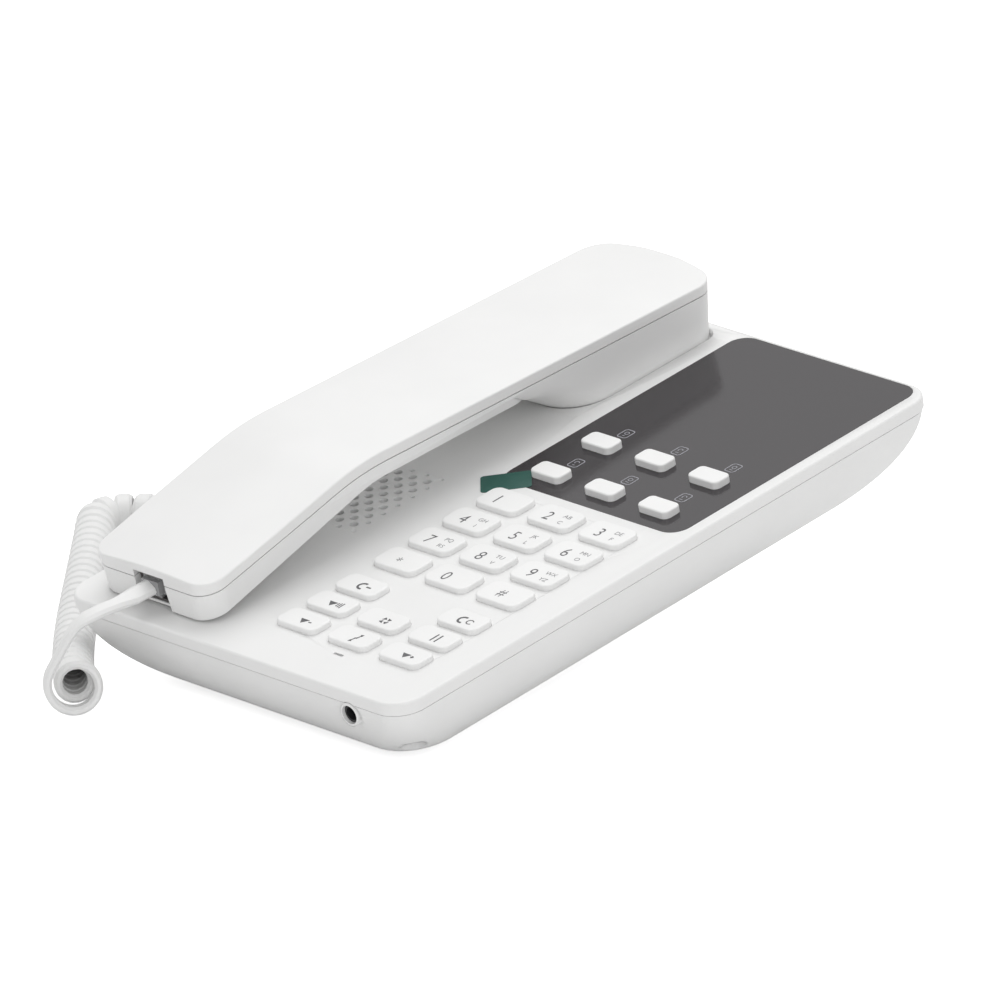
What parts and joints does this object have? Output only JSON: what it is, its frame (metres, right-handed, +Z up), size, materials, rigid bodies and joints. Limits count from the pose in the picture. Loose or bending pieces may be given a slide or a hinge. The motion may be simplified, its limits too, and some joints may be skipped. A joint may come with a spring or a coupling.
{
  "type": "corded desk telephone",
  "caption": "White corded desk telephone with a tilted base, dial and function keys, dark memory-key panel, lift-off handset and curly cord.",
  "frame": {"origin": "on the desk, at the centre of the telephone's outline seen from above, cord left out", "axes": "+X to the user's right across the keypad, +Y away from the user up the slope of the keys, +Z up from the desk"},
  "size_m": [0.1955, 0.2104, 0.0768],
  "materials": {
    "white_shell": "fine satin texture",
    "white_key": "smooth satin with printed grey symbols",
    "dark_panel": "glossy",
    "green_film": "thin film",
    "circuit_board": "solder mask",
    "silicone": "matte",
    "steel": "plain",
    "black_plastic": "plain",
    "clear_plastic": "clear",
    "white_cord": "soft satin"
  },
  "bodies": {
    "base": {"lower_housing": "white_shell", "upper_housing": "white_shell", "faceplate": "dark_panel", "film_pull_tab": "green_film", "main_board": "circuit_board", "keypad_mat": "silicone", "board_screws": "steel", "housing_screws": "steel", "loudspeaker": "black_plastic", "base_microphone": "black_plastic", "network_socket": "black_plastic", "cord_socket": "clear_plastic", "headset_jack": "black_plastic", "hook_switch": "black_plastic", "rubber_feet": "silicone", "base_plug": "clear_plastic", "base_tail": "white_cord", "curly_coil": "white_cord", "handset_tail": "white_cord"},
    "handset": {"handset_outer_shell": "white_shell", "handset_inner_shell": "white_shell", "handset_screws": "steel", "earpiece": "black_plastic", "handset_weight": "steel", "handset_microphone": "black_plastic", "handset_socket": "clear_plastic", "handset_plug": "clear_plastic"},
    "hook": {"hook_plunger": "black_plastic"},
    "key_star_body": {"key_star": "white_key"},
    "key_0_body": {"key_0": "white_key"},
    "key_hash_body": {"key_hash": "white_key"},
    "key_7_body": {"key_7": "white_key"},
    "key_8_body": {"key_8": "white_key"},
    "key_9_body": {"key_9": "white_key"},
    "key_4_body": {"key_4": "white_key"},
    "key_5_body": {"key_5": "white_key"},
    "key_6_body": {"key_6": "white_key"},
    "key_1_body": {"key_1": "white_key"},
    "key_2_body": {"key_2": "white_key"},
    "key_3_body": {"key_3": "white_key"},
    "volume_down_key_body": {"volume_down_key": "white_key"},
    "flash_key_body": {"flash_key": "white_key"},
    "volume_up_key_body": {"volume_up_key": "white_key"},
    "loudspeaker_key_body": {"loudspeaker_key": "white_key"},
    "mute_key_body": {"mute_key": "white_key"},
    "hold_key_body": {"hold_key": "white_key"},
    "answer_key_body": {"answer_key": "white_key"},
    "redial_key_body": {"redial_key": "white_key"},
    "memory_key_1_body": {"memory_key_1": "white_key"},
    "memory_key_2_body": {"memory_key_2": "white_key"},
    "memory_key_3_body": {"memory_key_3": "white_key"},
    "memory_key_4_body": {"memory_key_4": "white_key"},
    "memory_key_5_body": {"memory_key_5": "white_key"},
    "memory_key_6_body": {"memory_key_6": "white_key"}
  },
  "joints": [
    {"name": "handset_lift", "type": "slide", "parent": "base", "child": "handset", "axis": [0, -0.1953, 0.9808], "range_m": [0, 0.06], "deforming": ["handset_tail"]},
    {"name": "hook_travel", "type": "slide", "parent": "base", "child": "hook", "axis": [0, -0.1953, 0.9808], "range_m": [0, 0.003]},
    {"name": "key_star_press", "type": "slide", "parent": "base", "child": "key_star_body", "axis": [0, 0.1953, -0.9808], "range_m": [0, 0.0012], "stiffness_N_per_m": 400},
    {"name": "key_0_press", "type": "slide", "parent": "base", "child": "key_0_body", "axis": [0, 0.1953, -0.9808], "range_m": [0, 0.0012], "stiffness_N_per_m": 400},
    {"name": "key_hash_press", "type": "slide", "parent": "base", "child": "key_hash_body", "axis": [0, 0.1953, -0.9808], "range_m": [0, 0.0012], "stiffness_N_per_m": 400},
    {"name": "key_7_press", "type": "slide", "parent": "base", "child": "key_7_body", "axis": [0, 0.1953, -0.9808], "range_m": [0, 0.0012], "stiffness_N_per_m": 400},
    {"name": "key_8_press", "type": "slide", "parent": "base", "child": "key_8_body", "axis": [0, 0.1953, -0.9808], "range_m": [0, 0.0012], "stiffness_N_per_m": 400},
    {"name": "key_9_press", "type": "slide", "parent": "base", "child": "key_9_body", "axis": [0, 0.1953, -0.9808], "range_m": [0, 0.0012], "stiffness_N_per_m": 400},
    {"name": "key_4_press", "type": "slide", "parent": "base", "child": "key_4_body", "axis": [0, 0.1953, -0.9808], "range_m": [0, 0.0012], "stiffness_N_per_m": 400},
    {"name": "key_5_press", "type": "slide", "parent": "base", "child": "key_5_body", "axis": [0, 0.1953, -0.9808], "range_m": [0, 0.0012], "stiffness_N_per_m": 400},
    {"name": "key_6_press", "type": "slide", "parent": "base", "child": "key_6_body", "axis": [0, 0.1953, -0.9808], "range_m": [0, 0.0012], "stiffness_N_per_m": 400},
    {"name": "key_1_press", "type": "slide", "parent": "base", "child": "key_1_body", "axis": [0, 0.1953, -0.9808], "range_m": [0, 0.0012], "stiffness_N_per_m": 400},
    {"name": "key_2_press", "type": "slide", "parent": "base", "child": "key_2_body", "axis": [0, 0.1953, -0.9808], "range_m": [0, 0.0012], "stiffness_N_per_m": 400},
    {"name": "key_3_press", "type": "slide", "parent": "base", "child": "key_3_body", "axis": [0, 0.1953, -0.9808], "range_m": [0, 0.0012], "stiffness_N_per_m": 400},
    {"name": "volume_down_key_press", "type": "slide", "parent": "base", "child": "volume_down_key_body", "axis": [0, 0.1953, -0.9808], "range_m": [0, 0.0012], "stiffness_N_per_m": 400},
    {"name": "flash_key_press", "type": "slide", "parent": "base", "child": "flash_key_body", "axis": [0, 0.1953, -0.9808], "range_m": [0, 0.0012], "stiffness_N_per_m": 400},
    {"name": "volume_up_key_press", "type": "slide", "parent": "base", "child": "volume_up_key_body", "axis": [0, 0.1953, -0.9808], "range_m": [0, 0.0012], "stiffness_N_per_m": 400},
    {"name": "loudspeaker_key_press", "type": "slide", "parent": "base", "child": "loudspeaker_key_body", "axis": [0, 0.1953, -0.9808], "range_m": [0, 0.0012], "stiffness_N_per_m": 400},
    {"name": "mute_key_press", "type": "slide", "parent": "base", "child": "mute_key_body", "axis": [0, 0.1953, -0.9808], "range_m": [0, 0.0012], "stiffness_N_per_m": 400},
    {"name": "hold_key_press", "type": "slide", "parent": "base", "child": "hold_key_body", "axis": [0, 0.1953, -0.9808], "range_m": [0, 0.0012], "stiffness_N_per_m": 400},
    {"name": "answer_key_press", "type": "slide", "parent": "base", "child": "answer_key_body", "axis": [0, 0.1953, -0.9808], "range_m": [0, 0.0012], "stiffness_N_per_m": 400},
    {"name": "redial_key_press", "type": "slide", "parent": "base", "child": "redial_key_body", "axis": [0, 0.1953, -0.9808], "range_m": [0, 0.0012], "stiffness_N_per_m": 400},
    {"name": "memory_key_1_press", "type": "slide", "parent": "base", "child": "memory_key_1_body", "axis": [0, 0.1953, -0.9808], "range_m": [0, 0.0012], "stiffness_N_per_m": 400},
    {"name": "memory_key_2_press", "type": "slide", "parent": "base", "child": "memory_key_2_body", "axis": [0, 0.1953, -0.9808], "range_m": [0, 0.0012], "stiffness_N_per_m": 400},
    {"name": "memory_key_3_press", "type": "slide", "parent": "base", "child": "memory_key_3_body", "axis": [0, 0.1953, -0.9808], "range_m": [0, 0.0012], "stiffness_N_per_m": 400},
    {"name": "memory_key_4_press", "type": "slide", "parent": "base", "child": "memory_key_4_body", "axis": [0, 0.1953, -0.9808], "range_m": [0, 0.0012], "stiffness_N_per_m": 400},
    {"name": "memory_key_5_press", "type": "slide", "parent": "base", "child": "memory_key_5_body", "axis": [0, 0.1953, -0.9808], "range_m": [0, 0.0012], "stiffness_N_per_m": 400},
    {"name": "memory_key_6_press", "type": "slide", "parent": "base", "child": "memory_key_6_body", "axis": [0, 0.1953, -0.9808], "range_m": [0, 0.0012], "stiffness_N_per_m": 400}
  ],
  "couplings": [
    {"joint": "hook_travel", "follows": "handset_lift", "ratio": 0.05}
  ]
}
